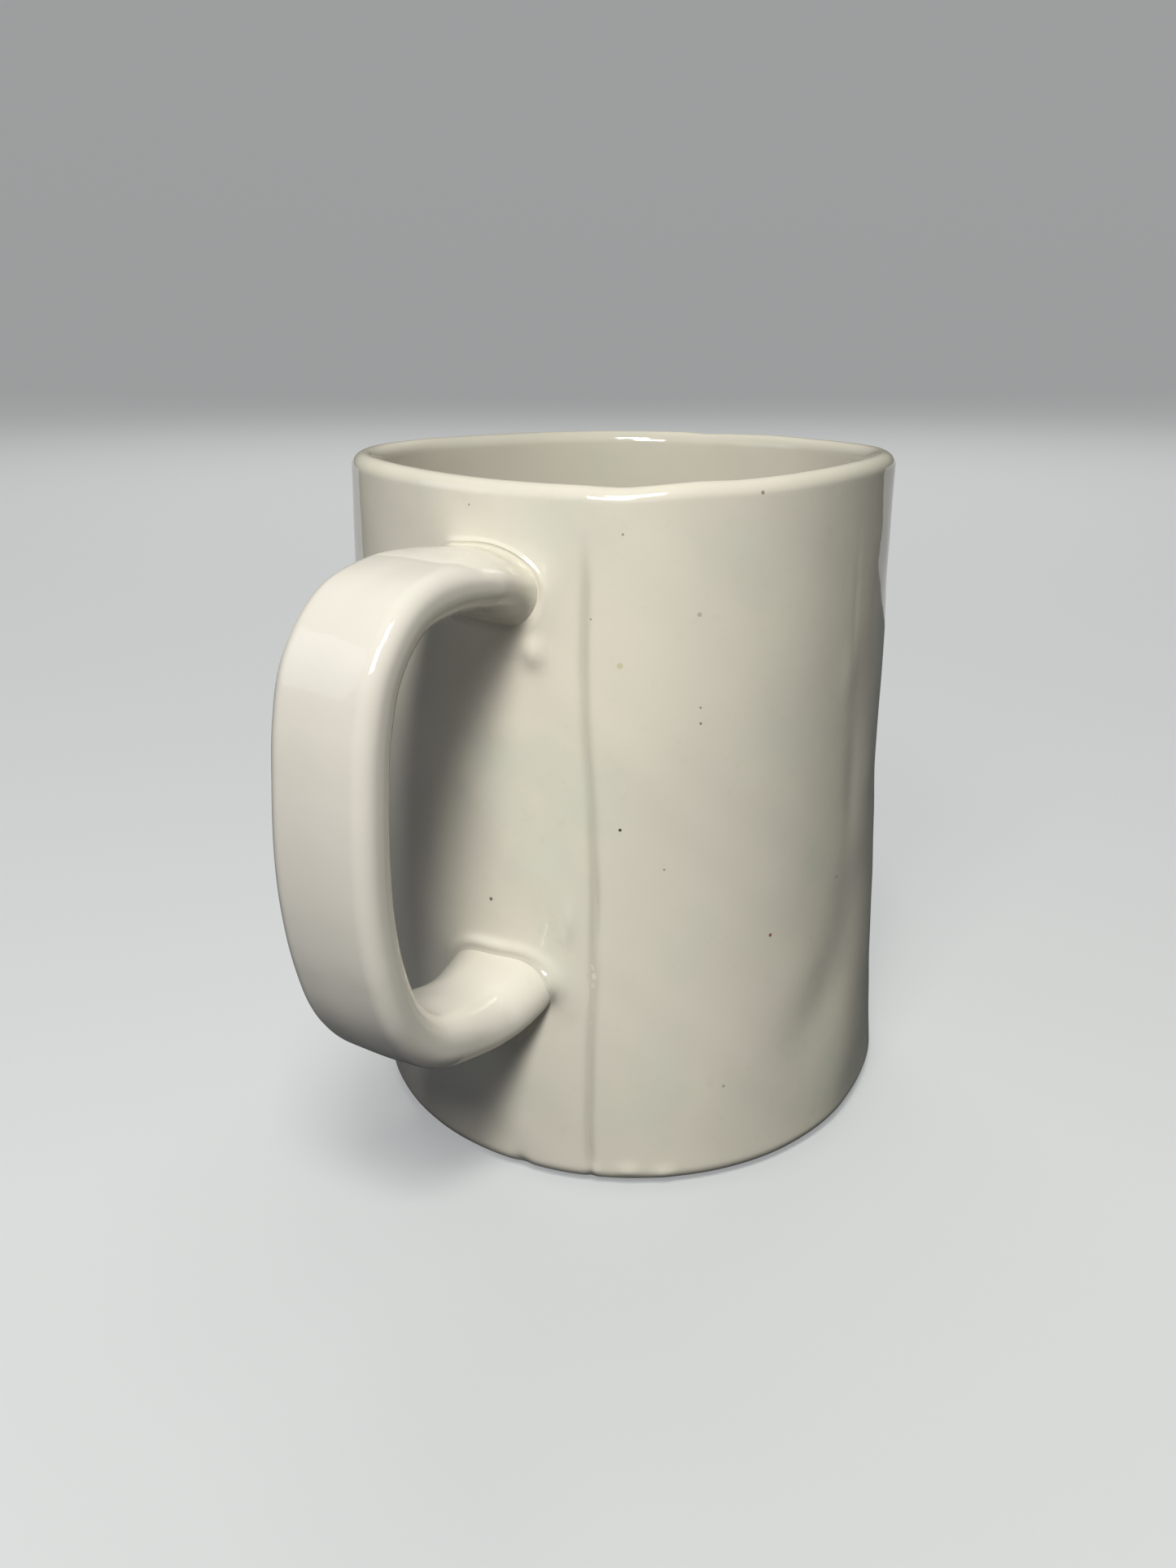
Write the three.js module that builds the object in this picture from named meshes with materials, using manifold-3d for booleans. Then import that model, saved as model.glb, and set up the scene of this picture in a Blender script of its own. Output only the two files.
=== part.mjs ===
// A hand-built stoneware mug: a slab tube on a turned-up floor slab, a bare foot ring and one strap handle.
// Millimetres, +Z up. The mug stands on Z = 0 and its handle points along -X.
import * as THREE from "three";
import { mergeVertices } from "three/addons/utils/BufferGeometryUtils.js";
import Module from "manifold-3d";

const wasm = await Module();
wasm.setup();

// Cup
const HEIGHT = 120;
const RADIUS_AT_TABLE = 49.5;
const RADIUS_AT_LIP = 47.8;
const WALL = 4.8;
const FOOT_HEIGHT = 0.8;
const FOOT_OUTER_RADIUS = 43.5;
const FOOT_WIDTH = 5;
const FLOOR_TOP = 7.5;
const SLAB_JOIN = 14; // height where the floor slab's turned-up edge meets the wall
const BASE_CORNER = 4;
const INNER_COVE = 5.5;
const SEGMENTS = 72;
const LIP_STEPS = 8;
const CORNER_STEPS = 6;

// Upright seam where the two ends of the wall slab meet
const SEAM_ANGLE = THREE.MathUtils.degToRad(21.5); // from the handle, anticlockwise from above
const SEAM_WIDTH = 1.8;
const SEAM_DEPTH = 0.7;
const SEAM_TOP = 105.6;

// Handle: its centre line leaves the wall, bends down and returns. Each pair is the distance out from the
// wall and the height above the table.
const STRAP_WIDTH = 19.6;
const STRAP_THICKNESS = 7.9;
const STRAP_CORNER = 3.6;
const STRAP_SKEW = THREE.MathUtils.degToRad(-7); // the strap was pressed on a little off radial
const UPPER_ROOT_HEIGHT = 105;
const LOWER_ROOT_HEIGHT = 37;
const STRAP_BENDS = [
  [12, 106],
  [24.5, 105],
  [33.8, 97.8],
  [37.9, 80],
  [38, 61],
  [33.3, 43.7],
  [22.5, 34.6],
  [9, 33.6],
];
const STRAP_STEPS = 48;
const STRAP_CORNER_STEPS = 4;
const ROOT_DEPTH = 3; // how far the sweep runs into the wall before it is trimmed

// Beads of clay round the two roots
const BEAD_SPREAD = 1.8;
const BEAD_HEIGHT = 2.6;
const BEAD_ROUND = 1;
const BEAD_ROUND_STEPS = 2;

const GAP = 0.3; // left between a trimmed piece and its neighbour
const TRIM_MARGIN = 1; // how far a trimming solid runs past what it trims
const WELD = 1e-4; // vertices closer than this are one vertex

// Turns a closed geometry into a solid that can be joined and cut.
function solidOf(geometry) {
  const bare = geometry.clone();
  bare.deleteAttribute("normal");
  bare.deleteAttribute("uv");
  const merged = mergeVertices(bare, WELD);
  const vertProperties = merged.attributes.position.array;
  const triVerts = new Uint32Array(merged.index.array);
  return new wasm.Manifold(new wasm.Mesh({ numProp: 3, vertProperties, triVerts }));
}

function geometryOf(solid) {
  const { vertProperties, triVerts } = solid.getMesh();
  const geometry = new THREE.BufferGeometry();
  geometry.setAttribute("position", new THREE.BufferAttribute(vertProperties, 3));
  geometry.setIndex(new THREE.BufferAttribute(triVerts, 1));
  return geometry;
}

// Turns a profile of [radius, height] points about the cup's axis.
function turned(profile) {
  const points = profile.map(([radius, height]) => new THREE.Vector2(radius, height));
  return new THREE.LatheGeometry(points, SEGMENTS).rotateX(Math.PI / 2);
}

function arc(centreRadius, centreHeight, radius, from, to, steps) {
  return Array.from({ length: steps + 1 }, (_, i) => {
    const angle = THREE.MathUtils.degToRad(from + ((to - from) * i) / steps);
    return [centreRadius + radius * Math.cos(angle), centreHeight + radius * Math.sin(angle)];
  });
}

// The cup tapers a little from the table to the lip.
function outerRadius(height) {
  return RADIUS_AT_TABLE + ((RADIUS_AT_LIP - RADIUS_AT_TABLE) * height) / HEIGHT;
}

function wallGeometry() {
  const lipRadius = WALL / 2;
  const lipHeight = HEIGHT - lipRadius;
  const profile = [
    [outerRadius(SLAB_JOIN), SLAB_JOIN],
    ...arc(outerRadius(lipHeight) - lipRadius, lipHeight, lipRadius, 0, 180, LIP_STEPS),
    [outerRadius(SLAB_JOIN) - WALL, SLAB_JOIN],
    [outerRadius(SLAB_JOIN), SLAB_JOIN],
  ];
  return turned(profile);
}

function baseGeometry() {
  const side = outerRadius(SLAB_JOIN);
  const inside = side - WALL;
  const profile = [
    [0, FOOT_HEIGHT],
    ...arc(side - BASE_CORNER, FOOT_HEIGHT + BASE_CORNER, BASE_CORNER, -90, 0, CORNER_STEPS),
    [side, SLAB_JOIN],
    [inside, SLAB_JOIN],
    ...arc(inside - INNER_COVE, FLOOR_TOP + INNER_COVE, INNER_COVE, 0, -90, CORNER_STEPS),
    [0, FLOOR_TOP],
  ];
  return turned(profile);
}

function footRingGeometry() {
  const round = FOOT_HEIGHT / 2;
  const inner = FOOT_OUTER_RADIUS - FOOT_WIDTH;
  const profile = [
    [inner, FOOT_HEIGHT],
    [inner, round],
    [inner + round, 0],
    [FOOT_OUTER_RADIUS - round, 0],
    [FOOT_OUTER_RADIUS, round],
    [FOOT_OUTER_RADIUS, FOOT_HEIGHT],
    [inner, FOOT_HEIGHT],
  ];
  return turned(profile);
}

// A V-shaped bar along the seam, cut out of the wall and the base. It stops short of the lip.
function seamCutter() {
  const section = new THREE.Shape([
    new THREE.Vector2(SEAM_DEPTH, 0),
    new THREE.Vector2(-SEAM_DEPTH, SEAM_WIDTH),
    new THREE.Vector2(-SEAM_DEPTH, -SEAM_WIDTH),
  ]);
  const bar = new THREE.ExtrudeGeometry(section, { depth: SEAM_TOP, bevelEnabled: false });
  const slope = Math.atan((RADIUS_AT_TABLE - RADIUS_AT_LIP) / HEIGHT);
  bar.rotateY(slope).translate(-RADIUS_AT_TABLE, 0, 0).rotateZ(SEAM_ANGLE);
  return solidOf(bar);
}

function cupPiece(geometry) {
  return geometryOf(solidOf(geometry).subtract(seamCutter()));
}

// A rectangle with round corners, centred on the origin.
function strapSection(width, thickness, corner) {
  const halfWidth = width / 2;
  const halfThickness = thickness / 2;
  const shape = new THREE.Shape();
  const quarter = Math.PI / 2;
  [
    [halfWidth - corner, halfThickness - corner],
    [corner - halfWidth, halfThickness - corner],
    [corner - halfWidth, corner - halfThickness],
    [halfWidth - corner, corner - halfThickness],
  ].forEach(([x, y], turn) => {
    shape.absarc(x, y, corner, turn * quarter, (turn + 1) * quarter, false);
  });
  return shape;
}

// The handle's frame has X pointing out from the wall and its origin on the wall at table height.
function inHandleFrame(geometry) {
  const rootRadius = outerRadius((UPPER_ROOT_HEIGHT + LOWER_ROOT_HEIGHT) / 2);
  return geometry.rotateZ(Math.PI + STRAP_SKEW).translate(-rootRadius, 0, 0);
}

function strapPath() {
  const points = [
    [-ROOT_DEPTH, UPPER_ROOT_HEIGHT],
    ...STRAP_BENDS,
    [-ROOT_DEPTH, LOWER_ROOT_HEIGHT],
  ].map(([out, height]) => new THREE.Vector3(out, 0, height));
  return new THREE.CatmullRomCurve3(points);
}

function strap(grow) {
  const width = STRAP_WIDTH + 2 * grow;
  const thickness = STRAP_THICKNESS + 2 * grow;
  const section = strapSection(width, thickness, STRAP_CORNER + grow);
  return inHandleFrame(
    new THREE.ExtrudeGeometry(section, {
      steps: STRAP_STEPS,
      curveSegments: STRAP_CORNER_STEPS,
      bevelEnabled: false,
      extrudePath: strapPath(),
    }),
  );
}

// The cup's outer surface, pushed out by the gap, as a solid that trims what is joined to it.
function cupTrimmer() {
  const profile = [
    [0, -TRIM_MARGIN],
    [outerRadius(0) + GAP, -TRIM_MARGIN],
    [outerRadius(HEIGHT) + GAP, HEIGHT + TRIM_MARGIN],
    [0, HEIGHT + TRIM_MARGIN],
  ];
  return solidOf(turned(profile));
}

function handleGeometry() {
  return geometryOf(solidOf(strap(0)).subtract(cupTrimmer()));
}

function beadGeometry(rootHeight) {
  const width = STRAP_WIDTH + 2 * (BEAD_SPREAD - BEAD_ROUND);
  const thickness = STRAP_THICKNESS + 2 * (BEAD_SPREAD - BEAD_ROUND);
  const plate = new THREE.ExtrudeGeometry(strapSection(thickness, width, STRAP_CORNER), {
    depth: ROOT_DEPTH + BEAD_HEIGHT - BEAD_ROUND,
    curveSegments: STRAP_CORNER_STEPS,
    bevelThickness: BEAD_ROUND,
    bevelSize: BEAD_ROUND,
    bevelSegments: BEAD_ROUND_STEPS,
  });
  plate.rotateY(Math.PI / 2).translate(-ROOT_DEPTH, 0, rootHeight);
  const bead = solidOf(inHandleFrame(plate));
  return geometryOf(bead.subtract(cupTrimmer()).subtract(solidOf(strap(GAP))));
}

function glaze() {
  return new THREE.MeshStandardMaterial({ color: 0xddd8c8, roughness: 0.15, metalness: 0 });
}

function bareClay() {
  return new THREE.MeshStandardMaterial({ color: 0xd8cdb8, roughness: 0.75, metalness: 0 });
}

function piece(name, geometry, material) {
  const mesh = new THREE.Mesh(geometry, material);
  mesh.name = name;
  return mesh;
}

const mug = new THREE.Group();
mug.add(
  piece("wall", cupPiece(wallGeometry()), glaze()),
  piece("base", cupPiece(baseGeometry()), glaze()),
  piece("foot_ring", footRingGeometry(), bareClay()),
  piece("handle", handleGeometry(), glaze()),
  piece("upper_joint", beadGeometry(UPPER_ROOT_HEIGHT), glaze()),
  piece("lower_joint", beadGeometry(LOWER_ROOT_HEIGHT), glaze()),
);

// The origin is on the table, under the middle of the whole mug.
const extent = new THREE.Box3().setFromObject(mug);
const middle = extent.getCenter(new THREE.Vector3());
mug.position.set(-middle.x, -middle.y, -extent.min.z);

export default mug;
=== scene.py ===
import math

import bpy
import numpy as np
from mathutils import Euler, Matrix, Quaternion, Vector

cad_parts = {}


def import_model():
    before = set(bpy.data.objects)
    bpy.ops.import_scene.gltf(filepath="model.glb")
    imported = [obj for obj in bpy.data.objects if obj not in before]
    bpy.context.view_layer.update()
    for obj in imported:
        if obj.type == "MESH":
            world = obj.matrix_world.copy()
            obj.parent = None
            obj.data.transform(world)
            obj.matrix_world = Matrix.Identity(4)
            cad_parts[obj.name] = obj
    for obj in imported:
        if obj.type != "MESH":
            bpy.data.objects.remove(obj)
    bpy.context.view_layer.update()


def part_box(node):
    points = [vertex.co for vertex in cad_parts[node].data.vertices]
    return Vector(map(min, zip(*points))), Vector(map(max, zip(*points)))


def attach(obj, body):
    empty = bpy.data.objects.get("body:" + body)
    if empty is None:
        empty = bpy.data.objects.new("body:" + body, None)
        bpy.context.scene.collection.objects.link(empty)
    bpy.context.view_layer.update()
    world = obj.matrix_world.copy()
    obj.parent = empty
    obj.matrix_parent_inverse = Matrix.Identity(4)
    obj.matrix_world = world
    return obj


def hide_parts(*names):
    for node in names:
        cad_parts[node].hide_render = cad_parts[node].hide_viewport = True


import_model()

MM = 0.001


def box_mm(node):
    low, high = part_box(node)
    return np.array(low) / MM, np.array(high) / MM


WALL_LOW, WALL_HIGH = box_mm("wall")
RING_LOW, RING_HIGH = box_mm("foot_ring")
STRAP_LOW, STRAP_HIGH = box_mm("handle")

AXIS = (WALL_LOW[:2] + WALL_HIGH[:2]) / 2
TOP = WALL_HIGH[2]
JOIN = WALL_LOW[2]
UNDERSIDE = box_mm("base")[0][2]
CAD_RADIUS = (WALL_HIGH[0] - WALL_LOW[0]) / 2

# Cup. Each row of three is for the table, the middle and the lip.
RADII = CAD_RADIUS + np.array([-0.7, -0.85, -1.4])
LEAN_ACROSS = np.array([1.6, -0.45, 0.0])
LEAN_BACK = np.array([-0.6, -0.4, 0.0])
WALL = 4.8
LIP_RADIUS = 2.4
CORNER = 2.6
FLOOR_TOP = 7.5
INNER_COVE = 5.5

# The slab tube was rolled a little out of round, about the side that faces the front of the seam.
FRONT = math.radians(26.5)
FOOT_LOBES = ((2, 0.6, -0.25), (3, 1.7, -0.15), (4, -0.25, 0.4))
LIP_LOBES = ((2, -0.3, -0.1), (3, 0.35, 0.5), (4, 0.6, 0.1))
RIM_LOBES = ((1, 0.14, -0.05), (2, -0.42, 0.19), (3, -0.2, 0.03))

# Soft bumps and dents of the outside: bearing, height, spread round, spread up, rise.
BUMPS = (
    (28, 60, 50, 20, -0.55),
    (28, 21, 50, 12, 0.35),
    (116, 66, 11, 9, -0.3),
    (116, 85, 11, 9, 0.22),
    (84, 97, 1.2, 9, -0.06),
    (82.5, 85, 3.5, 5, 0.16),
    (87, 66, 3.5, 12, -0.22),
    (97, 64, 6, 12, 0.25),
    (86, 38, 9, 9, -0.5),
    (77, 27, 9, 8, -0.8),
    (67, 22, 8, 7, -0.45),
    (82, 10, 9, 6, 0.3),
    (62, 50, 14, 10, 0.2),
    (16.2, 48, 1.2, 3, 0.3),
    (12.4, 103, 2.3, 4.5, 0.5),
    (10.6, 98, 2.5, 3.2, 0.7),
    (9.8, 93.3, 2.5, 2.4, 1.1),
    (3.4, 1.8, 1.8, 1.6, -0.5),
    (19, 3, 1.2, 1.2, 0.3),
    (26, 3.2, 2.2, 1.2, 0.35),
    (33, 2.6, 2.0, 1.2, 0.35),
)

# Rises and dips of the rim: bearing, spread, rise.
RIM_BUMPS = (
    (26, 6, -0.32),
    (41, 6, 0.25),
    (185, 4, -0.2),
    (166, 8, 0.15),
)

SEAM_BEARING = 19.45
SEAM_BOW = 1.95
SEAM_BOW_HEIGHT = 54
SEAM_BOW_SPREAD = 24
SEAM_FOOT_DRIFT = -1.2
SEAM_DEPTH = 0.36
SEAM_HALF_WIDTH = 0.8
SEAM_FADE = (102, 114)
SEAM_OPENING = (49, 8)  # the height where the groove is deepest, and how far that spreads
SEAM_STEP = 0.07

# Waves of the whole surface: size and rise of the slow ones and of the quick ones.
SLOW_WAVES = (46, 0.10)
QUICK_WAVES = (15, 0.022)
CAVITY_WAVES = (30, 0.16)


def smooth(low, high, value):
    share = np.clip((value - low) / (high - low), 0, 1)
    return share * share * (3 - 2 * share)


def through_three(values, share):
    """The smooth curve through the values at shares 0, 0.5 and 1."""
    low, middle, high = values
    bend = 2 * (low + high - 2 * middle)
    return low + (high - low - bend) * share + bend * share * share


def lobes(terms, angle):
    total = np.zeros_like(angle)
    for count, cosine, sine in terms:
        total = total + cosine * np.cos(count * angle) + sine * np.sin(count * angle)
    return total


def ripple(seed, a, b, size, terms=9):
    """A smooth random field of two lengths, about 1 high, with waves about size long."""
    rng = np.random.default_rng(seed)
    total = 0
    for _ in range(terms):
        turn, phase = rng.uniform(0, 2 * math.pi, 2)
        wave = 2 * math.pi / (size * rng.uniform(0.7, 1.6))
        total = total + np.sin(wave * (a * math.cos(turn) + b * math.sin(turn)) + phase)
    return total / math.sqrt(terms / 2)


def turn_gap(bearing, centre):
    """The signed turn from centre to bearing, in radians, from -pi to pi."""
    return (bearing - centre + math.pi) % (2 * math.pi) - math.pi


def seam_bearing(height):
    bow = SEAM_BOW * np.exp(-(((height - SEAM_BOW_HEIGHT) / SEAM_BOW_SPREAD) ** 2))
    drift = SEAM_FOOT_DRIFT * (1 - smooth(0, 34, height))
    wobble = 0.07 * np.sin(height / 5.1) + 0.06 * np.sin(height / 2.7 + 1)
    return np.radians(SEAM_BEARING + bow + drift + wobble)


def seam_relief(bearing, height):
    """The soft groove, with the slab's right-hand end standing a little proud of the left-hand one."""
    across = turn_gap(bearing, seam_bearing(height)) * CAD_RADIUS
    deepest, spread = SEAM_OPENING
    opening = np.exp(-(((height - deepest) / spread) ** 2))
    kept = 1 - smooth(*SEAM_FADE, height)
    depth = SEAM_DEPTH * (1 + 0.1 * np.sin(height / 7) + 0.6 * opening) * kept
    groove = np.exp(-((across / SEAM_HALF_WIDTH) ** 2))
    step = SEAM_STEP * np.tanh(across / SEAM_HALF_WIDTH) * np.exp(-np.abs(across) / 5)
    return step * kept - depth * groove


def out_of_round(bearing, height):
    share = np.clip((height - UNDERSIDE) / (TOP - UNDERSIDE), 0, 1)
    angle = turn_gap(bearing, FRONT)
    kept = 1 - smooth(math.radians(95), math.radians(175), np.abs(angle))
    foot = lobes(FOOT_LOBES, angle) * kept
    return foot * (1 - share) + lobes(LIP_LOBES, angle) * share


def bumps(bearing, height):
    total = 0
    for at, up, spread, tall, rise in BUMPS:
        across = turn_gap(bearing, math.radians(at)) / math.radians(spread)
        total = total + rise * np.exp(-(across**2) - ((height - up) / tall) ** 2)
    return total


def undulation(bearing, height):
    x = CAD_RADIUS * np.cos(bearing)
    y = CAD_RADIUS * np.sin(bearing)
    slow_size, slow_rise = SLOW_WAVES
    quick_size, quick_rise = QUICK_WAVES
    slow = ripple(3, x + 0.4 * height, y + 0.7 * height, slow_size)
    quick = ripple(5, x - 0.6 * height, y + 0.8 * height, quick_size)
    return slow_rise * slow + quick_rise * quick


def plain_radius(bearing, height):
    """The outside of the cup without its seam, bumps and hand marks."""
    share = np.clip((height - UNDERSIDE) / (TOP - UNDERSIDE), 0, 1)
    return through_three(RADII, share) + out_of_round(bearing, height)


def outer_radius(bearing, height):
    marks = bumps(bearing, height) + undulation(bearing, height)
    return plain_radius(bearing, height) + marks + seam_relief(bearing, height)


def row_direction(bearing):
    return np.stack([-np.cos(bearing), -np.sin(bearing)], -1)


ACROSS = row_direction(FRONT + math.pi / 2)
BACK = row_direction(FRONT + math.pi)


def cup_axis(height):
    share = np.clip((height - UNDERSIDE) / (TOP - UNDERSIDE), 0, 1)[..., None]
    across = through_three(LEAN_ACROSS, share)
    back = through_three(LEAN_BACK, share)
    return AXIS + across * ACROSS + back * BACK


def cup_point(bearing, height, radius):
    flat = cup_axis(height) + radius[..., None] * row_direction(bearing)
    return np.concatenate([flat, height[..., None]], -1)


def rim_rise(bearing):
    angle = turn_gap(bearing, FRONT)
    total = lobes(RIM_LOBES, angle)
    for at, spread, rise in RIM_BUMPS:
        gap = turn_gap(bearing, math.radians(at)) / math.radians(spread)
        total = total + rise * np.exp(-(gap**2))
    return total


def lifted(bearing, height):
    """The height with the rim's rises and dips, which die out down the wall."""
    share = np.clip((height / TOP - 0.6) / 0.4, 0, 1)
    return height + rim_rise(bearing) * share**2


# Meshes ---------------------------------------------------------------------------------------------------

SHARP_ANGLE = math.radians(40)
PLAIN_BEARINGS = 520
SEAM_BEARINGS = 90  # the closer ones round the seam
SEAM_MIDDLE = math.radians(20.6)
SEAM_SPREAD = math.radians(5.2)
FOOT_WIDTH = 5
FOOT_OVERLAP = 0.3  # how far the ring runs up into the base
FOOT_BEARINGS = 300
OUTSIDE_ROWS = 108
INSIDE_ROWS = 30
LIP_ROWS = (14, 12)  # outside and inside
CORNER_ROWS = 12
SIDE_ROWS = 14
# How wide the painted shade along the seam is, and how strong the painted shade inside the cup is.
SEAM_SHADE_WIDTH = 0.9
INSIDE_SHADE = 1.15


def make_piece(name, vertices, faces, material, slot, replaced, **measures):
    """measures are values for each vertex that the material reads: one for how far the colour is darkened as
    painted shade, and one for how far the strap is lightened as painted light."""
    mesh = bpy.data.meshes.new(name)
    mesh.from_pydata([tuple(v) for v in vertices * MM], [], faces)
    mesh.validate()
    mesh.shade_smooth()
    mesh.set_sharp_from_angle(angle=SHARP_ANGLE)
    mesh.materials.append(material)
    for measure, values in measures.items():
        mesh.attributes.new(measure, "FLOAT", "POINT").data.foreach_set("value", values.astype(np.float32))
    mesh.update()
    piece = bpy.data.objects.new(name, mesh)
    bpy.context.scene.collection.objects.link(piece)
    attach(piece, "root")
    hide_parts(replaced)


def grid_faces(rows, columns, closed_rows):
    """Quads of a grid that wraps round its columns, and round its rows too if closed_rows."""
    faces = []
    for r in range(rows if closed_rows else rows - 1):
        a, b = r * columns, ((r + 1) % rows) * columns
        for c in range(columns):
            d = (c + 1) % columns
            faces.append((a + c, a + d, b + d, b + c))
    return faces


def fan(centre, first, columns, backward):
    """Triangles from a row of points to a centre, in the order of the row or backward."""
    faces = []
    for c in range(columns):
        d = (c + 1) % columns
        faces.append((centre, first + d, first + c) if backward else (centre, first + c, first + d))
    return faces


def capped_faces(rows, columns):
    """A tube of rows with a fan at each end. The fans' centres are the two vertices after the rows."""
    total = rows * columns
    ends = fan(total, 0, columns, True) + fan(total + 1, total - columns, columns, False)
    return grid_faces(rows, columns, False) + ends


def cup_bearings():
    """Bearings round the whole circle, with closer ones across the seam."""
    plain = np.linspace(0, 2 * math.pi, PLAIN_BEARINGS, endpoint=False)
    near = np.linspace(SEAM_MIDDLE - SEAM_SPREAD, SEAM_MIDDLE + SEAM_SPREAD, SEAM_BEARINGS)
    outside = np.abs(turn_gap(plain, SEAM_MIDDLE)) > SEAM_SPREAD * 1.04
    return np.sort(np.concatenate([plain[outside], near % (2 * math.pi)]))


BEARINGS = cup_bearings()


def lathe_rows(profile, radius_at):
    """Rows of points round the cup. The profile is pairs of inset from the outside and height."""
    rows = []
    for inset, height in profile:
        level = np.full_like(BEARINGS, height)
        rows.append(cup_point(BEARINGS, lifted(BEARINGS, level), radius_at(BEARINGS, level) - inset))
    return rows


def arc(centre_inset, centre_height, radius, start, end, steps):
    """Points on a circle as pairs of inset and height. An angle of 0 faces out and 90 faces up."""
    angles = np.radians(np.linspace(start, end, steps))
    return [(centre_inset - radius * math.cos(a), centre_height + radius * math.sin(a)) for a in angles]


def line(inset, start, end, steps):
    return [(inset, h) for h in np.linspace(start, end, steps)]


def wall_mesh():
    top = TOP - LIP_RADIUS
    lip_out, lip_in = LIP_ROWS
    outside = line(0, JOIN, top - 0.6, OUTSIDE_ROWS) + arc(LIP_RADIUS, top, LIP_RADIUS, 0, 90, lip_out)
    inside = arc(LIP_RADIUS, top, LIP_RADIUS, 98, 180, lip_in) + line(WALL, top - 2, JOIN, INSIDE_ROWS)
    rows = lathe_rows(outside, outer_radius) + lathe_rows(inside, inside_radius)
    return np.concatenate(rows), grid_faces(len(rows), len(BEARINGS), True)


def cup_pooling(vertices):
    """Painted shade: the colour darkened along the seam's groove and all over the inside of the cup."""
    flat = vertices[:, :2] - cup_axis(vertices[:, 2])
    bearing = np.arctan2(-flat[:, 1], -flat[:, 0])
    across = turn_gap(bearing, seam_bearing(vertices[:, 2])) * CAD_RADIUS
    depth = CAD_RADIUS - np.linalg.norm(flat, axis=1)
    outside = depth < WALL / 2
    seam = np.exp(-((across / SEAM_SHADE_WIDTH) ** 2)) * (1 - smooth(*SEAM_FADE, vertices[:, 2]))
    return outside * seam + INSIDE_SHADE * smooth(0.75 * WALL, 1.2 * WALL, depth)


def inside_radius(bearing, height):
    """The outside that the cavity follows: it has its own faint hand marks and no seam."""
    x = CAD_RADIUS * np.cos(bearing)
    y = CAD_RADIUS * np.sin(bearing)
    near_lip = smooth(TOP - 12, TOP - LIP_RADIUS, height)
    size, rise = CAVITY_WAVES
    marks = rise * ripple(11, x + 0.3 * height, y - 0.8 * height, size)
    return plain_radius(bearing, height) + marks * (1 - near_lip) + undulation(bearing, height) * near_lip


def base_mesh():
    corner_height = UNDERSIDE + CORNER
    under = [(CORNER + k, UNDERSIDE) for k in (30, 20, 12, 6, 2.5, 0.8)]
    corner = arc(CORNER, corner_height, CORNER, -90, 0, CORNER_ROWS)
    side = line(0, corner_height + 0.7, JOIN, SIDE_ROWS)
    inside = WALL + INNER_COVE
    cove = line(WALL, JOIN, JOIN - 0.6, 2)
    cove += arc(inside, FLOOR_TOP + INNER_COVE, INNER_COVE, 0, -90, CORNER_ROWS)
    floor = [(inside + k, FLOOR_TOP) for k in (2, 5, 10, 18, 27)]
    rows = lathe_rows(under + corner + side, outer_radius) + lathe_rows(cove + floor, inside_radius)
    heights = np.array([UNDERSIDE, FLOOR_TOP])
    centres = np.concatenate([cup_axis(heights), heights[:, None]], 1)
    return np.concatenate(rows + [centres]), capped_faces(len(rows), len(BEARINGS))


def foot_ring_mesh():
    outer = (RING_HIGH[0] - RING_LOW[0]) / 2
    inner = outer - FOOT_WIDTH
    top = UNDERSIDE + FOOT_OVERLAP
    low = RING_LOW[2]
    profile = [(outer, top), (outer, low + 0.45), (outer - 0.12, low + 0.2), (outer - 0.45, low)]
    profile += [(outer - k, low) for k in (1.2, 2.5, 3.8)]
    profile += [(inner + 0.45, low), (inner + 0.12, low + 0.2), (inner, low + 0.45), (inner, top)]
    bearing = np.linspace(0, 2 * math.pi, FOOT_BEARINGS, endpoint=False)
    rows = []
    for radius, height in profile:
        wander = 0.12 * ripple(21, radius * np.cos(bearing), radius * np.sin(bearing), 22)
        rows.append(cup_point(bearing, np.full_like(bearing, height), radius + wander))
    return np.concatenate(rows[::-1]), grid_faces(len(rows), len(bearing), True)


# Handle ---------------------------------------------------------------------------------------------------

# The strap's centre line: share of its reach out from the wall, and share of its height.
ROUTE = (
    (-0.085, 0.93),
    (0.014, 0.939),
    (0.229, 0.949),
    (0.444, 0.95),
    (0.65, 0.921),
    (0.796, 0.836),
    (0.859, 0.726),
    (0.882, 0.611),
    (0.887, 0.494),
    (0.873, 0.379),
    (0.831, 0.265),
    (0.748, 0.158),
    (0.595, 0.08),
    (0.384, 0.053),
    (0.169, 0.05),
    (-0.012, 0.1),
    (-0.085, 0.122),
)
STRAP_SKEW = math.radians(-7)
STRAP_WIDTHS = (20.8, 19.7, 19.3)
STRAP_THICKNESSES = (7.9, 7.4, 8.6)
OUTER_EDGE = (2.8, 0.36)  # an edge's run across the strap, and its drop as a share of the thickness
INNER_EDGE = (3.9, 0.5)
# What the edges gain towards a root: the right-hand outer edge's run, the inner edges' run, the outer edges'
# drop and the inner edges' drop.
UPPER_ROUNDING = (9.5, 1.6, 0.14, -0.06)
LOWER_SOFTENING = (0, 2.0, -0.03, 0.14)
LOWER_ROOT_RUN = 1.5
UPPER_ROUNDING_REACH = (0, 24)
LOWER_SOFTENING_REACH = (6, 24)
UPPER_FLARE = (2.8, 13)  # extra thickness at the root, and the reach over which it dies out
LOWER_FLARE = (-0.8, 10)
UPPER_RIGHT = -1.8  # extra width on the right-hand side at the root
LOWER_RIGHT = 1.9
RIGHT_REACH = 10
CROWN = 0.35
SECTION_POINTS = 96
STRAP_ROWS = 230


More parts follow.
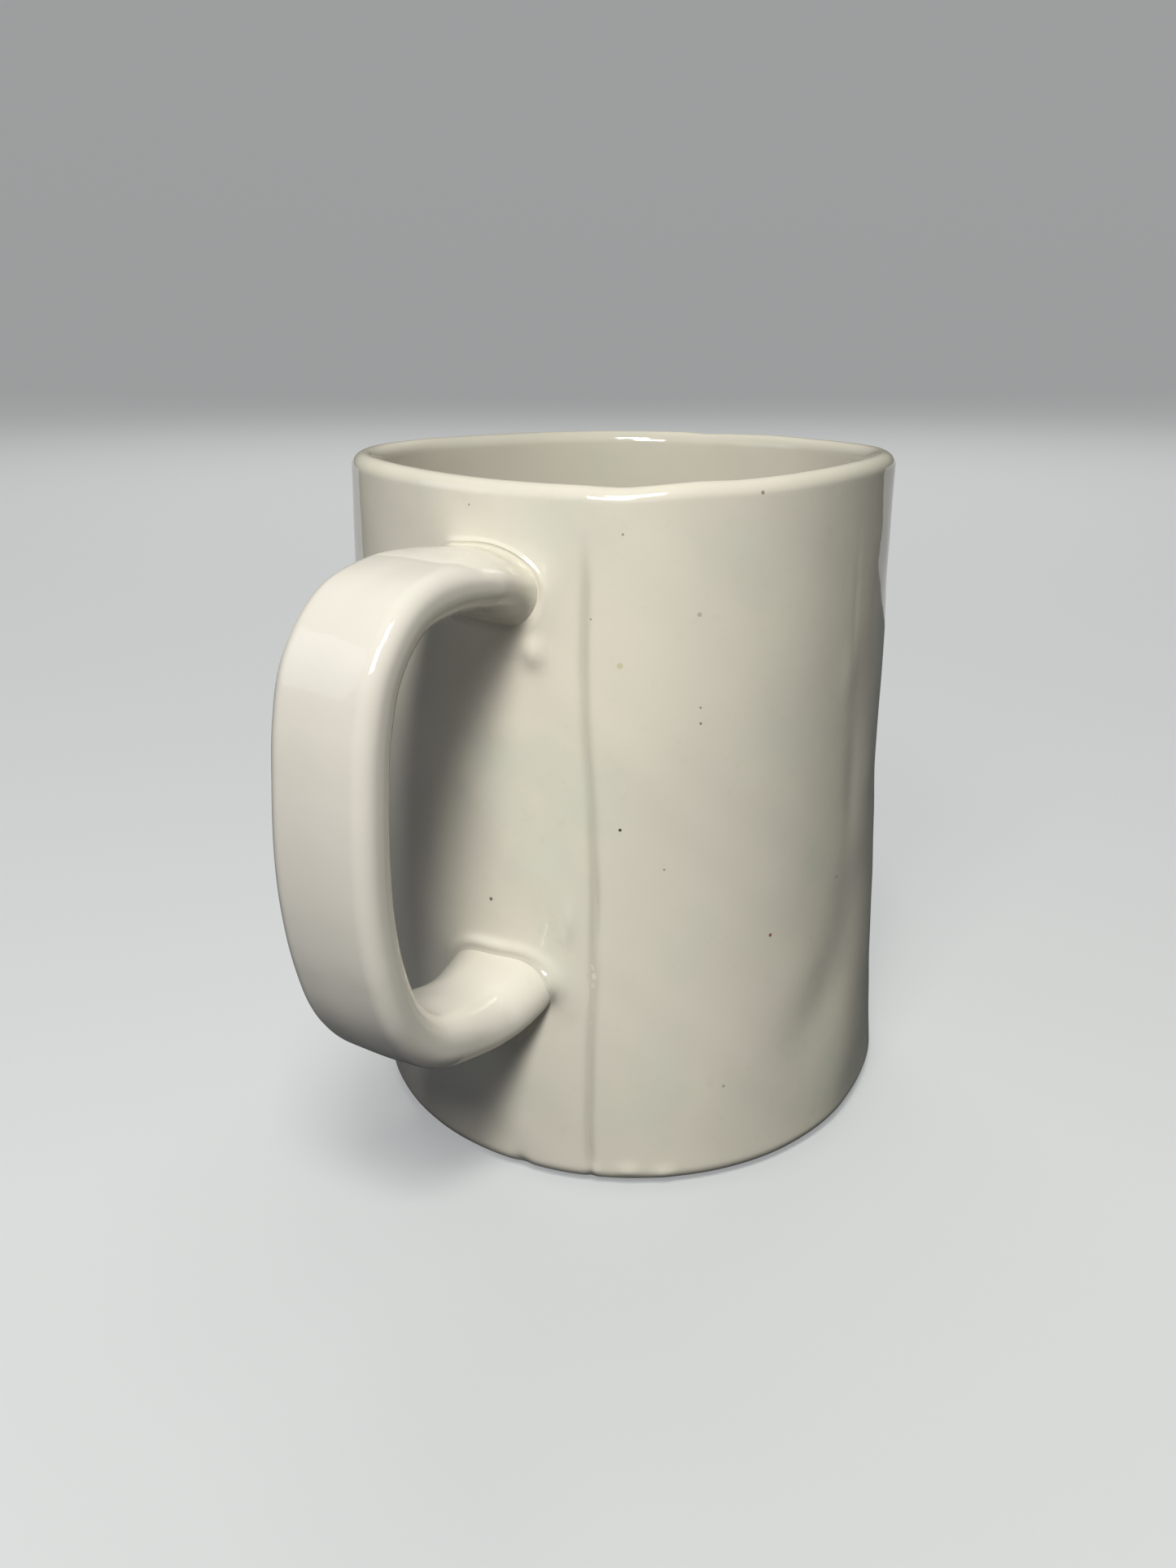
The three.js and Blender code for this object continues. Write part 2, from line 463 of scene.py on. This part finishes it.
def evenly_spaced(line_points, count, endpoint=True):
    """Points at even steps along a broken line."""
    length = np.concatenate([[0], np.cumsum(np.linalg.norm(np.diff(line_points, axis=0), axis=1))])
    even = np.linspace(0, length[-1], count, endpoint=endpoint)
    return np.stack([np.interp(even, length, values) for values in line_points.T], -1)


def catmull_rom(points, steps):
    """A smooth curve through the points, evenly spaced along its length."""
    points = np.array(points, float)
    padded = np.concatenate([[2 * points[0] - points[1]], points, [2 * points[-1] - points[-2]]])
    fine = []
    for a, b, c, d in zip(padded, padded[1:], padded[2:], padded[3:]):
        t = np.linspace(0, 1, 40, endpoint=False)[:, None]
        square, cube = 2 * a - 5 * b + 4 * c - d, 3 * b - a - 3 * c + d
        fine.append(0.5 * (2 * b + (c - a) * t + square * t**2 + cube * t**3))
    return evenly_spaced(np.concatenate(fine + [points[-1:]]), steps)


def rounded_section(width, thickness, rounds):
    """Points round a flat strap's section. x is across the strap and y is out from its inner face. Each edge
    is a quarter of an ellipse, given as a run across and a drop through the strap, anticlockwise from x and y
    high."""
    outline = []
    for (run, drop), (sx, sy, start) in zip(rounds, ((1, 1, 0), (-1, 1, 90), (-1, -1, 180), (1, -1, 270))):
        x, y = sx * (width / 2 - run), sy * (thickness / 2 - drop)
        angles = np.radians(np.linspace(start, start + 90, 16))
        outline.append(np.stack([x + run * np.cos(angles), y + drop * np.sin(angles)], -1))
    outline = np.concatenate(outline + [outline[0][:1]])
    points = evenly_spaced(outline, SECTION_POINTS, endpoint=False)
    crown = CROWN * (1 - (2 * points[:, 0] / width) ** 2)
    points[:, 1] += crown * np.tanh(2 * points[:, 1])
    return points


def handle_frame():
    """The strap's origin on the wall at table height, and its outward, sideways and up directions."""
    halfway = np.full(1, (STRAP_LOW[2] + STRAP_HIGH[2]) / 2)
    radius = plain_radius(np.zeros(1), halfway)[0]
    root = AXIS + radius * row_direction(np.zeros(1))[0]
    angle = math.pi + STRAP_SKEW
    out = np.array([math.cos(angle), math.sin(angle), 0])
    side = np.array([-math.sin(angle), math.cos(angle), 0])
    return np.array([*root, 0]), out, side, np.array([0, 0, 1.0])


def strap_rows():
    origin, out, side, up = handle_frame()
    reach = origin[0] - STRAP_LOW[0]
    tall = STRAP_HIGH[2] - STRAP_LOW[2]
    route = [(u * reach, STRAP_LOW[2] + v * tall) for u, v in ROUTE]
    path = catmull_rom(route, STRAP_ROWS)
    tangent = np.gradient(path, axis=0)
    tangent /= np.linalg.norm(tangent, axis=1)[:, None]
    rows = []
    for k, (point, along) in enumerate(zip(path, tangent)):
        section = strap_section(k / (STRAP_ROWS - 1), point[0])
        centre = origin + point[0] * out + point[1] * up
        normal = -along[1] * out + along[0] * up
        rows.append(centre + section[:, :1] * side + section[:, 1:] * normal)
    rows = np.array(rows)
    marks = 0.09 * ripple(31, rows[..., 0] + rows[..., 1], rows[..., 2], 24)
    away = rows - rows.mean(1)[:, None]
    rows += marks[..., None] * away / np.linalg.norm(away, axis=2)[..., None]
    return rows


def strap_section(share, reach):
    """The section at a share of the strap's length that is reach out from the wall. Towards its upper root
    the strap grows rounder, flares on its inner side and draws in on its right. Towards the lower root its
    inner edges soften and it spreads to the right."""
    width = through_three(STRAP_WIDTHS, share)
    thickness = through_three(STRAP_THICKNESSES, share)
    near = 1 - smooth(0, RIGHT_REACH, reach)
    rise, flare_reach = UPPER_FLARE if share < 0.5 else LOWER_FLARE
    flare = rise * max(1 - reach / flare_reach, 0) ** 2
    run, drop = OUTER_EDGE
    inner_run, inner_drop = INNER_EDGE
    if share < 0.5:
        right = UPPER_RIGHT * near
        gained = np.array(UPPER_ROUNDING) * (1 - smooth(*UPPER_ROUNDING_REACH, reach))
    else:
        right = LOWER_RIGHT * near
        gained = np.array(LOWER_SOFTENING) * (1 - smooth(*LOWER_SOFTENING_REACH, reach))
        inner_run += LOWER_ROOT_RUN * near
    width, thickness = width + right, thickness + flare
    drop, inner_drop = (drop + gained[2]) * thickness, (inner_drop + gained[3]) * thickness
    outer = [(run + gained[0], drop), (run, drop)]
    inner = [(inner_run + gained[1], inner_drop)] * 2
    return rounded_section(width, thickness, outer + inner) + np.array([right / 2, -flare / 2])


def handle_mesh(rows):
    """The strap, closed by a fan at each root, inside the wall."""
    ends = rows[[0, -1]].mean(1)
    return np.concatenate([rows.reshape(-1, 3), ends]), capped_faces(*rows.shape[:2])


def strap_paleness(vertices):
    """Painted light: the strap's colour made paler the further it stands out from the wall."""
    away = np.linalg.norm(vertices[:, :2] - AXIS, axis=1) - CAD_RADIUS
    return smooth(-1, 12, away)


# Joints ---------------------------------------------------------------------------------------------------

ROOT_HALF_WIDTH = 11
ROOT_HALF_HEIGHT = 6
JOINT_SPREAD = 7.5  # how far the ring of clay reaches over the wall
JOINT_STEPS = 34
JOINT_INSIDE = (-1.6, -0.8)  # rows under the strap
JOINT_BACK = (7.2, 3.0, -1.6)  # rows of the ring's back, inside the wall
JOINT_BACK_DEPTH = 1.4
# How strong and how wide the painted shade is along the crease where the ring meets the strap.
CREASE_SHADE = 0.6
CREASE_WIDTH = 0.8


def root_outline(rows):
    """Bearing and height of each point where the strap's surface enters the wall."""
    flat = rows[..., :2] - cup_axis(rows[..., 2])
    bearing = np.arctan2(-flat[..., 1], -flat[..., 0])
    outside = np.linalg.norm(flat, axis=-1) - plain_radius(bearing, rows[..., 2])
    found = []
    for c in range(rows.shape[1]):
        k = int(np.argmax(outside[:, c] > 0))
        share = outside[k, c] / (outside[k, c] - outside[k - 1, c])
        found.append([(1 - share) * f[k, c] + share * f[k - 1, c] for f in (bearing, rows[..., 2])])
    return np.array(found)


def joint_mesh(rows, relief):
    """A ring of clay laid on the wall round the strap's root. relief gives its height off the wall from the
    distance out from the strap and the direction round the root, 0 to the right and 90 up."""
    outline = root_outline(rows)
    centre = outline.mean(0)
    flat = np.stack([(outline[:, 0] - centre[0]) * CAD_RADIUS, outline[:, 1] - centre[1]], -1)
    tangent = np.roll(flat, -1, 0) - np.roll(flat, 1, 0)
    normal = np.stack([tangent[:, 1], -tangent[:, 0]], -1)
    normal /= np.linalg.norm(normal, axis=1)[:, None]
    if (normal * flat).sum() < 0:
        normal = -normal
    compass = np.arctan2(flat[:, 1] / ROOT_HALF_HEIGHT, flat[:, 0] / ROOT_HALF_WIDTH)
    distances = np.concatenate([JOINT_INSIDE, np.linspace(0, 1, JOINT_STEPS) ** 1.15 * JOINT_SPREAD])
    top = []
    for distance in distances:
        spot = flat + normal * distance
        rise = relief(max(distance, 0.0), compass)
        top.append(on_cup(centre, spot, rise))
    back = [on_cup(centre, flat + normal * d, np.full(len(flat), -JOINT_BACK_DEPTH)) for d in JOINT_BACK]
    rings = np.array(top + back)
    # Painted shade, strongest at the crease round the strap and fading out over the ring.
    crease = CREASE_SHADE * np.exp(-((distances / CREASE_WIDTH) ** 2))
    crease = np.concatenate([crease, np.zeros(len(back))])
    pooling = np.repeat(crease[:, None], rings.shape[1], axis=1)
    around = np.roll(flat, -1, 0)
    if (flat[:, 0] * around[:, 1] - flat[:, 1] * around[:, 0]).sum() > 0:
        rings, pooling = rings[::-1], pooling[::-1]
    return rings.reshape(-1, 3), grid_faces(*rings.shape[:2], True), pooling.ravel()


def on_cup(centre, spot, rise):
    """The point over the wall at a spot given in millimetres across and up from the root's centre."""
    bearing = centre[0] + spot[:, 0] / CAD_RADIUS
    height = centre[1] + spot[:, 1]
    return cup_point(bearing, height, outer_radius(bearing, height) + rise)


def toward(compass, angle, spread, shoulder=2):
    """1 in the direction of the angle in degrees, falling smoothly to 0 over the spread. A higher shoulder
    stays near 1 for longer and then falls faster."""
    gap = np.degrees(np.abs(turn_gap(compass, math.radians(angle))))
    return np.exp(-((gap / spread) ** shoulder))


def roll(distance, centre, width, rise):
    """A bead that runs round the root at a distance from it."""
    return rise * np.exp(-(((distance - centre) / width) ** 2))


def skirt(distance):
    """A skin over the wall that sinks into it at the ring's outer edge."""
    return 0.03 - 0.07 * smooth(2.5, 7, distance)


def upper_relief(distance, compass):
    above = toward(compass, 85, 62, 4)
    right = toward(compass, -5, 40)
    left = toward(compass, 150, 40)
    below = toward(compass, -105, 55)
    bead = roll(distance, 0.9, 0.3, 0.34) * above + roll(distance, 0.8, 0.8, 0.3) * right
    fillet = 0.4 * math.exp(-distance / 0.6) * above + 0.9 * math.exp(-distance / 0.9) * left
    underside = 1.1 * math.exp(-distance / 1.3) * below
    return bead + fillet + underside + skirt(distance)


def lower_relief(distance, compass):
    above = toward(compass, 95, 62)
    right = toward(compass, 12, 34)
    below = toward(compass, -100, 60)
    bead = roll(distance, 1.25, 1.05, 0.8) * above
    fillet = 0.6 * math.exp(-distance / 0.8) * above + 1.7 * math.exp(-distance / 1.5) * right
    underside = 0.3 * math.exp(-distance / 0.7) * below
    return bead + fillet + underside + skirt(distance)


# Materials ------------------------------------------------------------------------------------------------

# Specks of iron and grit burnt through the glaze: bearing, height, size, strength, colour.
DARK = (0.045, 0.03, 0.02)
RUST = (0.28, 0.03, 0.03)
STRAW = (0.55, 0.5, 0.22)
SPECKS = (
    (26.3, 64.6, 0.42, 0.95, DARK),
    (-0.8, 50.1, 0.5, 0.8, DARK),
    (26.3, 112.3, 0.3, 0.6, DARK),
    (20.7, 99.0, 0.26, 0.6, DARK),
    (52.9, 118.0, 0.5, 0.6, DARK),
    (-5.3, 115.7, 0.3, 0.5, DARK),
    (40.8, 99.6, 0.55, 0.35, DARK),
    (41.4, 84.6, 0.3, 0.6, DARK),
    (41.5, 82.0, 0.34, 0.7, DARK),
    (34.6, 57.7, 0.32, 0.5, DARK),
    (45.6, 17.8, 0.45, 0.4, DARK),
    (80.9, 48.5, 0.4, 0.5, DARK),
    (57.5, 43.3, 0.5, 0.9, RUST),
    (26.2, 91.7, 0.8, 0.5, STRAW),
)


class Nodes:
    """Adds nodes to a material and joins them."""

    def __init__(self, name):
        self.material = bpy.data.materials.new(name)
        self.material.use_nodes = True
        self.tree = self.material.node_tree
        self.shader = self.tree.nodes["Principled BSDF"]

    def add(self, kind, links=(), **values):
        node = self.tree.nodes.new(kind)
        for key, value in values.items():
            setattr(node, key, value)
        for socket, source in dict(links).items():
            self.set(node, socket, source)
        return node

    def set(self, node, socket, source):
        target = node.inputs[socket]
        if isinstance(source, bpy.types.NodeSocket):
            self.tree.links.new(source, target)
        else:
            target.default_value = source

    def math(self, operation, *values):
        return self.add("ShaderNodeMath", dict(enumerate(values)), operation=operation).outputs[0]

    def noise(self, place, scale, detail=2.0, roughness=0.5):
        inputs = {"Vector": place, "Scale": scale, "Detail": detail, "Roughness": roughness}
        return self.add("ShaderNodeTexNoise", inputs).outputs["Fac"]

    def shifted(self, place, distance):
        """The place moved, so that a second noise differs from the first."""
        node = self.add("ShaderNodeVectorMath", {0: place, 1: (distance,) * 3}, operation="ADD")
        return node.outputs["Vector"]

    def ramp(self, value, low, high):
        """0 below low, 1 above high, smooth between."""
        inputs = {"Value": value, "From Min": low, "From Max": high}
        return self.add("ShaderNodeMapRange", inputs, interpolation_type="SMOOTHSTEP").outputs["Result"]

    def patches(self, field, low, high, strength):
        """How far a patch colour shows, where the field rises from low to high."""
        return self.math("MULTIPLY", self.ramp(field, low, high), strength)

    def measure(self, name):
        return self.add("ShaderNodeAttribute", attribute_name=name).outputs["Fac"]

    def mix(self, share, a, b):
        node = self.add("ShaderNodeMix", data_type="RGBA")
        self.set(node, 0, share)
        self.set(node, 6, a)
        self.set(node, 7, b)
        return node.outputs[2]


def rgb(red, green, blue):
    return (red, green, blue, 1.0)


CREAM = rgb(0.72, 0.67, 0.58)
LIGHT_CREAM = rgb(0.78, 0.73, 0.62)
GREENISH = rgb(0.66, 0.665, 0.575)
ROSY = rgb(0.76, 0.675, 0.61)
MOTTLE = rgb(0.58, 0.53, 0.43)
# The colour of the painted light on the strap.
PAINTED_LIGHT = rgb(0.75, 0.705, 0.65)
# The colour of the painted shade in the seam, the root creases and the inside of the cup.
SHADE_TINT = rgb(0.49, 0.465, 0.40)
CLAY = rgb(0.50, 0.43, 0.32)
LIGHT_CLAY = rgb(0.60, 0.53, 0.41)
CLAY_GRAIN = rgb(0.30, 0.23, 0.16)
GLAZE_GLOSS = (0.035, 0.05)  # the least roughness, and how much the noise adds
SPECK_EDGE = (0.78, 0.5)  # where a speck starts and where it is full, as shares of its size


def with_specks(nodes, place, colour):
    """The colour with each speck as a dot round its point on the cup."""
    for at, height, size, strength, tint in SPECKS:
        bearing, level = np.full(1, math.radians(at)), np.full(1, float(height))
        spot = cup_point(bearing, level, outer_radius(bearing, level))[0] * MM
        far = nodes.add("ShaderNodeVectorMath", {0: place, 1: tuple(spot)}, operation="DISTANCE")
        dot = nodes.ramp(far.outputs["Value"], *(size * share * MM for share in SPECK_EDGE))
        colour = nodes.mix(nodes.math("MULTIPLY", dot, strength), colour, rgb(*tint))
    return colour


def glaze_material():
    nodes = Nodes("cream_glaze")
    place = nodes.add("ShaderNodeTexCoord").outputs["Object"]
    broad = nodes.noise(place, 22.0, 2.0)
    patch = nodes.noise(place, 55.0, 3.0)
    fine = nodes.noise(place, 420.0, 3.0, 0.6)
    rosy = nodes.noise(nodes.shifted(place, 0.4), 34.0, 3.0)
    colour = nodes.mix(nodes.ramp(broad, 0.38, 0.64), CREAM, LIGHT_CREAM)
    colour = nodes.mix(nodes.patches(patch, 0.5, 0.72, 0.5), colour, GREENISH)
    colour = nodes.mix(nodes.patches(rosy, 0.5, 0.72, 0.45), colour, ROSY)
    colour = nodes.mix(nodes.patches(fine, 0.56, 0.8, 0.16), colour, MOTTLE)
    # Painted light: the strap paler away from the wall.
    colour = nodes.mix(nodes.math("MULTIPLY", nodes.measure("paleness"), 0.68), colour, PAINTED_LIGHT)
    # Painted shade: darker in the seam, the root creases and the inside of the cup.
    colour = nodes.mix(nodes.math("MULTIPLY", nodes.measure("pooling"), 0.55), colour, SHADE_TINT)
    colour = with_specks(nodes, place, colour)
    nodes.set(nodes.shader, "Base Color", colour)
    least, added = GLAZE_GLOSS
    gloss = nodes.math("MULTIPLY_ADD", nodes.noise(place, 160.0, 2.0), added, least)
    nodes.set(nodes.shader, "Roughness", gloss)
    nodes.set(nodes.shader, "IOR", 1.52)
    orange_peel = nodes.noise(place, 240.0, 2.0)
    bump = nodes.add("ShaderNodeBump", {"Height": orange_peel, "Strength": 0.05, "Distance": 0.0006})
    nodes.set(nodes.shader, "Normal", bump.outputs["Normal"])
    return nodes.material


def clay_material():
    nodes = Nodes("bare_clay")
    place = nodes.add("ShaderNodeTexCoord").outputs["Object"]
    broad = nodes.noise(place, 60.0, 3.0)
    grain = nodes.noise(place, 1500.0, 4.0, 0.7)
    colour = nodes.mix(nodes.ramp(broad, 0.35, 0.7), CLAY, LIGHT_CLAY)
    colour = nodes.mix(nodes.patches(grain, 0.6, 0.75, 0.5), colour, CLAY_GRAIN)
    nodes.set(nodes.shader, "Base Color", colour)
    nodes.set(nodes.shader, "Roughness", 0.85)
    bump = nodes.add("ShaderNodeBump", {"Height": grain, "Strength": 0.5, "Distance": 0.0003})
    nodes.set(nodes.shader, "Normal", bump.outputs["Normal"])
    return nodes.material


# Build ----------------------------------------------------------------------------------------------------

glaze = glaze_material()
clay = clay_material()
for name, (vertices, faces), node in (("cup_wall", wall_mesh(), "wall"), ("cup_base", base_mesh(), "base")):
    make_piece(name, vertices, faces, glaze, "glaze", node, pooling=cup_pooling(vertices))
make_piece("bare_foot_ring", *foot_ring_mesh(), clay, "bare_clay", "foot_ring")
strap = strap_rows()
vertices, faces = handle_mesh(strap)
make_piece("strap_handle", vertices, faces, glaze, "glaze", "handle", paleness=strap_paleness(vertices))
half = len(strap) // 2
for name, rows, relief, node in (
    ("upper_root_clay", strap[:half], upper_relief, "upper_joint"),
    ("lower_root_clay", strap[:half:-1], lower_relief, "lower_joint"),
):
    vertices, faces, pooling = joint_mesh(rows, relief)
    make_piece(name, vertices, faces, glaze, "glaze", node, pooling=pooling)

# Stage ----------------------------------------------------------------------------------------------------


def plain_material(name, colour, roughness):
    nodes = Nodes(name)
    nodes.set(nodes.shader, "Base Color", colour)
    nodes.set(nodes.shader, "Roughness", roughness)
    return nodes.material


FLOOR_RADIUS = 1.5
BACKDROP_LENGTH = 1.6
BACKDROP_STEPS = 32
BACKDROP_TOP = 1.4
STAGE_TURNS = 96
BOUNCE_DROP = 0.0004  # how far the darker floor is under the pale one


def stage_mesh():
    """A round floor that curves up into a backdrop all the way round."""
    turns = np.linspace(0, 2 * math.pi, STAGE_TURNS, endpoint=False)
    slope = math.pi / 2 * np.linspace(0, 1, BACKDROP_STEPS) ** 2
    step = BACKDROP_LENGTH / BACKDROP_STEPS
    radii = FLOOR_RADIUS + step * np.cumsum(np.cos(slope))
    heights = step * np.cumsum(np.sin(slope))
    radii = np.concatenate([[0.4, 1.0, FLOOR_RADIUS], radii, radii[-1:]])
    heights = np.concatenate([[0, 0, 0], heights, [BACKDROP_TOP]])
    circle = np.stack([np.cos(turns), np.sin(turns), np.zeros_like(turns)], -1)
    rows = [r * circle + [0, 0, h] for r, h in zip(radii, heights)]
    vertices = np.concatenate(rows + [np.zeros((1, 3))])
    faces = [f[::-1] for f in grid_faces(len(rows), len(turns), False)]
    faces += fan(len(vertices) - 1, 0, len(turns), False)
    return vertices, faces


def ground(name, drop, material):
    vertices, faces = stage_mesh()
    mesh = bpy.data.meshes.new(name)
    mesh.from_pydata([(x, y, z - drop) for x, y, z in vertices], [], faces)
    mesh.shade_smooth()
    mesh.materials.append(material)
    surface = bpy.data.objects.new(name, mesh)
    bpy.context.scene.collection.objects.link(surface)
    return surface


def floor():
    """The pale floor that is seen, and under it a darker one that gives the mug its light from below."""
    pale = plain_material("pale_floor", rgb(0.34, 0.344, 0.348), 0.7)
    shader = pale.node_tree.nodes["Principled BSDF"]
    shader.inputs["Emission Color"].default_value = rgb(0.97, 0.99, 1.0)
    shader.inputs["Emission Strength"].default_value = 0.32
    shader.inputs["Specular IOR Level"].default_value = 0
    seen = ground("floor", 0, pale)
    seen.visible_diffuse = False
    seen.visible_glossy = False
    seen.visible_shadow = False
    dark = plain_material("floor_bounce", rgb(0.082, 0.087, 0.094), 0.5)
    bounce = ground("floor_bounce", BOUNCE_DROP, dark)
    bounce.visible_camera = False


def area_light(name, azimuth, elevation, distance, size, power, target, colour=(1, 1, 1)):
    """A lamp that shines on the target from a direction. Azimuth 0 is on the camera's side."""
    angle = math.radians(azimuth) + CAMERA_BEARING
    level = math.cos(math.radians(elevation))
    flat = row_direction(np.array(angle)) * level
    back = Vector((flat[0], flat[1], math.sin(math.radians(elevation))))
    data = bpy.data.lights.new(name, "AREA")
    data.shape = "RECTANGLE"
    data.size, data.size_y = size
    data.energy = power
    data.color = colour
    lamp = bpy.data.objects.new(name, data)
    lamp.location = Vector(target) + back * distance
    lamp.rotation_mode = "QUATERNION"
    lamp.rotation_quaternion = back.to_track_quat("Z", "Y")
    lamp.visible_camera = False
    bpy.context.scene.collection.objects.link(lamp)
    return lamp


CAMERA_BEARING = FRONT
CAMERA_DISTANCE = 0.2990
CAMERA_HEIGHT = 0.1499
CAMERA_PITCH = math.radians(17.26)
CAMERA_YAW = math.radians(1.34)
CAMERA_ROLL = math.radians(0.18)
CAMERA_LENS = 37.36


def camera():
    data = bpy.data.cameras.new("camera")
    data.sensor_width = 36
    data.lens = CAMERA_LENS
    data.clip_start = 0.01
    eye = bpy.data.objects.new("camera", data)
    flat = AXIS * MM + CAMERA_DISTANCE * row_direction(np.array(CAMERA_BEARING))
    eye.location = (flat[0], flat[1], CAMERA_HEIGHT)
    heading = CAMERA_BEARING - math.pi / 2 + CAMERA_YAW
    level = Euler((math.pi / 2 - CAMERA_PITCH, 0, heading)).to_quaternion()
    eye.rotation_mode = "QUATERNION"
    eye.rotation_quaternion = level @ Quaternion((0, 0, 1), -CAMERA_ROLL)
    bpy.context.scene.collection.objects.link(eye)
    bpy.context.scene.camera = eye


def world(strength, colour):
    shade = bpy.data.worlds.new("studio")
    shade.use_nodes = True
    background = shade.node_tree.nodes["Background"]
    background.inputs["Color"].default_value = rgb(*colour)
    background.inputs["Strength"].default_value = strength
    bpy.context.scene.world = shade
    bpy.context.scene.view_settings.view_transform = "Standard"


floor()
camera()
middle = Vector((AXIS[0], AXIS[1], TOP / 2)) * MM
area_light("key", 0, 54, 1.2, (0.3, 0.3), 9.6, middle, (0.98, 1.01, 0.935))
area_light("near_key", -12, 38, 0.6, (0.17, 0.17), 1.6, middle, (1, 0.98, 0.96))
area_light("fill", -80, 25, 0.8, (0.4, 0.4), 0.4, middle, (0.85, 0.95, 1.15))
back_light = area_light("back", 180, 38, 1.4, (1.3, 0.9), 10.5, middle, (1, 1, 0.97))
back_light.visible_glossy = False
edge_light = area_light("edge", 180, 0, 0.42, (0.8, 0.12), 0.15, middle)
edge_light.visible_diffuse = False
world(0.004, (0.9, 0.95, 1.0))
